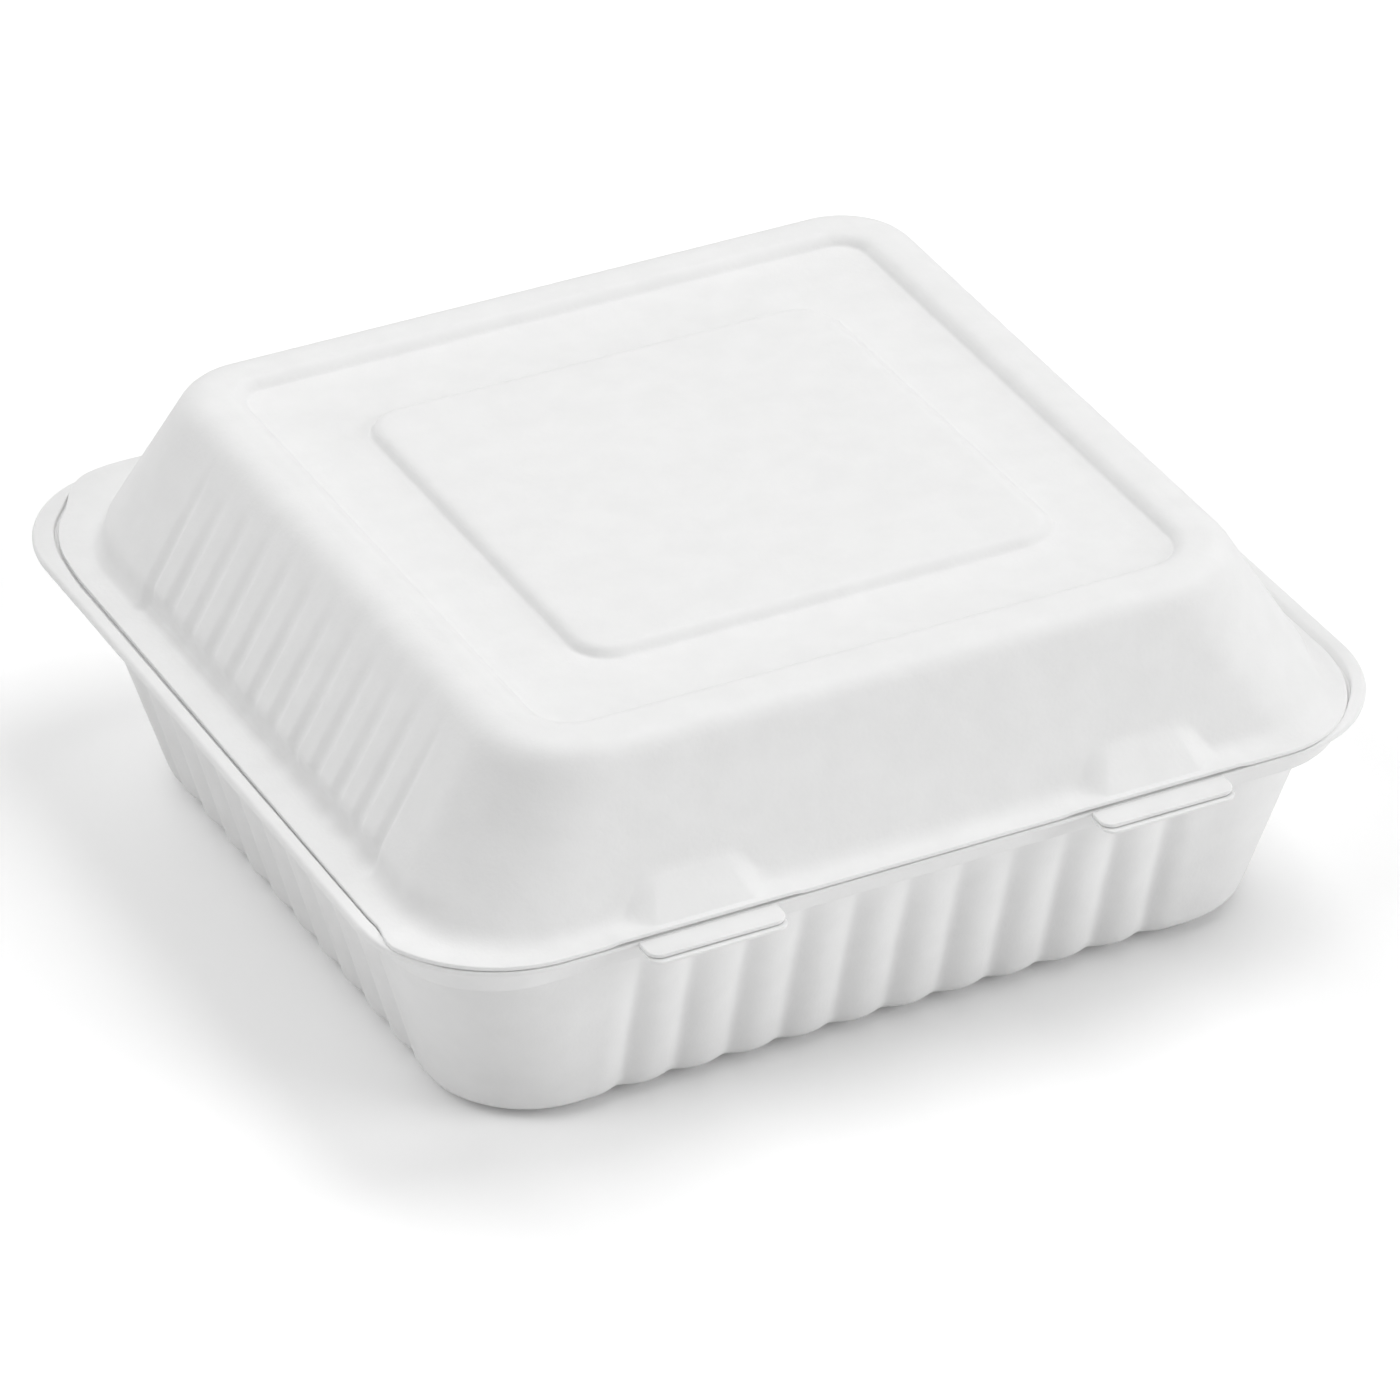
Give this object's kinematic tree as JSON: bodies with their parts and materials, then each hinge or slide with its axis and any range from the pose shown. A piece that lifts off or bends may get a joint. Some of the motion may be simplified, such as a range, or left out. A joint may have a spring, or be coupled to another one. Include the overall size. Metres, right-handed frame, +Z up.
{
  "type": "hinged-lid moulded fibre food container",
  "caption": "Square white moulded plant-fibre food box with a fluted tray, a fold-hinged lid and front latch tabs, shown closed.",
  "frame": {"origin": "on the ground under the foot, at the middle of the rim's outline from left to right and from front to back", "axes": "+Z up, -Y towards the front with its latch tabs, +Y towards the fold, +X to the right seen from the front"},
  "size_m": [0.205, 0.2014, 0.0804],
  "materials": {
    "base_fibre": "matte",
    "lid_fibre": "matte"
  },
  "bodies": {
    "base": {"base_tray": "base_fibre"},
    "cover": {"lid": "lid_fibre"}
  },
  "joints": [
    {"name": "lid_hinge", "type": "hinge", "parent": "base", "child": "cover", "pos_m": [0, 0.098, 0.0469], "axis": [-1, 0, 0], "range_deg": [0, 180]}
  ]
}
